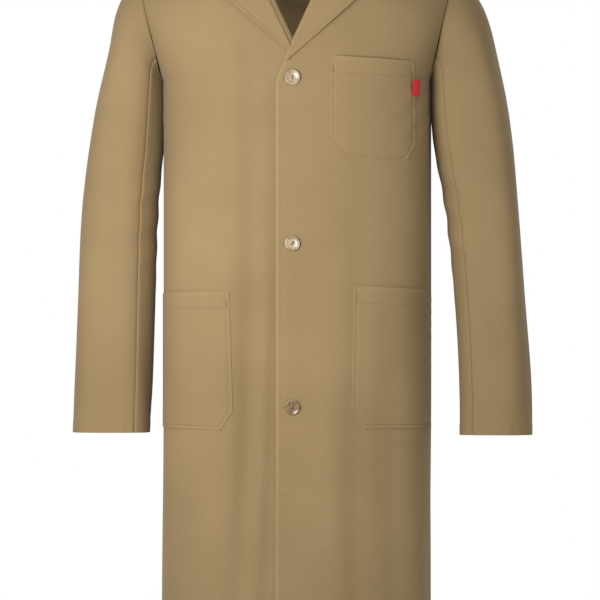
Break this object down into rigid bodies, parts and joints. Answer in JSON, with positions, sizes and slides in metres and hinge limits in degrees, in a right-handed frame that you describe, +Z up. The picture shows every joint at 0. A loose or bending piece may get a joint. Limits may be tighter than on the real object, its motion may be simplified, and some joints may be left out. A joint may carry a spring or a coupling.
{
  "type": "lab coat",
  "caption": "Knee-length khaki cotton lab coat with notched collar, three patch pockets, buttoned front and set-in sleeves, in worn shape.",
  "frame": {"origin": "centre plane of the coat at nape height, in the middle of the neck opening", "axes": "+Z up, -Y out of the coat's front, +X to the wearer's left"},
  "size_m": [0.661, 0.3, 1.1069],
  "materials": {
    "khaki_cloth": "matte",
    "khaki_inside": "matte",
    "pearl_button": "gloss",
    "sewing_thread": "matte",
    "red_tab": "satin",
    "label_cloth": "satin"
  },
  "bodies": {
    "coat_body": {"back_left": "khaki_cloth", "back_right": "khaki_cloth", "left_front": "khaki_cloth", "right_front": "khaki_cloth", "left_front_facing": "khaki_inside", "right_front_facing": "khaki_inside", "left_lapel": "khaki_cloth", "right_lapel": "khaki_cloth", "collar_leaf": "khaki_cloth", "collar_stand": "khaki_inside", "neck_label": "label_cloth", "chest_pocket": "khaki_cloth", "left_lower_pocket": "khaki_cloth", "right_lower_pocket": "khaki_cloth", "pocket_tab": "red_tab", "left_sleeve_head": "khaki_cloth", "right_sleeve_head": "khaki_cloth"},
    "hanger_loop": {"hanger_loop": "khaki_inside"},
    "left_skirt": {"left_front_skirt": "khaki_cloth", "left_skirt_facing": "khaki_inside"},
    "right_skirt": {"right_front_skirt": "khaki_cloth", "right_skirt_facing": "khaki_inside"},
    "left_upper_sleeve": {"left_upper_topsleeve": "khaki_cloth", "left_upper_undersleeve": "khaki_cloth"},
    "left_lower_sleeve": {"left_lower_topsleeve": "khaki_cloth", "left_lower_undersleeve": "khaki_cloth", "left_cuff_hem": "khaki_inside"},
    "right_upper_sleeve": {"right_upper_topsleeve": "khaki_cloth", "right_upper_undersleeve": "khaki_cloth"},
    "right_lower_sleeve": {"right_lower_topsleeve": "khaki_cloth", "right_lower_undersleeve": "khaki_cloth", "right_cuff_hem": "khaki_inside"},
    "top_button": {"top_button": "pearl_button", "top_button_thread": "sewing_thread"},
    "middle_button": {"middle_button": "pearl_button", "middle_button_thread": "sewing_thread"},
    "bottom_button": {"bottom_button": "pearl_button", "bottom_button_thread": "sewing_thread"}
  },
  "joints": [
    {"name": "left_sleeve_raise", "type": "hinge", "parent": "coat_body", "child": "left_upper_sleeve", "pos_m": [0.2825, 0, -0.165], "axis": [0, -1, 0], "range_deg": [0, 60]},
    {"name": "left_elbow_bend", "type": "hinge", "parent": "left_upper_sleeve", "child": "left_lower_sleeve", "pos_m": [0.2685, -0.06, -0.43], "axis": [-1, 0, 0], "range_deg": [0, 80]},
    {"name": "right_sleeve_raise", "type": "hinge", "parent": "coat_body", "child": "right_upper_sleeve", "pos_m": [-0.27, 0, -0.165], "axis": [0, 1, 0], "range_deg": [0, 60]},
    {"name": "right_elbow_bend", "type": "hinge", "parent": "right_upper_sleeve", "child": "right_lower_sleeve", "pos_m": [-0.258, -0.06, -0.43], "axis": [-1, 0, 0], "range_deg": [0, 80]},
    {"name": "left_skirt_open", "type": "hinge", "parent": "coat_body", "child": "left_skirt", "pos_m": [-0.024, -0.1306, -0.716], "axis": [-0.4012, 0.0131, 0.9159], "range_deg": [0, 110]},
    {"name": "right_skirt_open", "type": "hinge", "parent": "coat_body", "child": "right_skirt", "pos_m": [0.024, -0.1306, -0.716], "axis": [-0.4012, -0.0131, -0.9159], "range_deg": [0, 33]},
    {"name": "top_button_twist", "type": "hinge", "parent": "coat_body", "child": "top_button", "pos_m": [0, -0.126, -0.223], "axis": [0, -1, 0], "range_deg": [-35, 35]},
    {"name": "middle_button_twist", "type": "hinge", "parent": "coat_body", "child": "middle_button", "pos_m": [0, -0.126, -0.459], "axis": [0, -1, 0], "range_deg": [-35, 35]},
    {"name": "bottom_button_twist", "type": "hinge", "parent": "coat_body", "child": "bottom_button", "pos_m": [0, -0.126, -0.692], "axis": [0, -1, 0], "range_deg": [-35, 35]},
    {"name": "hanger_loop_flip", "type": "hinge", "parent": "coat_body", "child": "hanger_loop", "pos_m": [0, 0.054, -0.008], "axis": [-1, 0, 0], "range_deg": [0, 150]}
  ],
  "couplings": [
    {"joint": "right_skirt_open", "follows": "left_skirt_open", "ratio": 0.3}
  ]
}
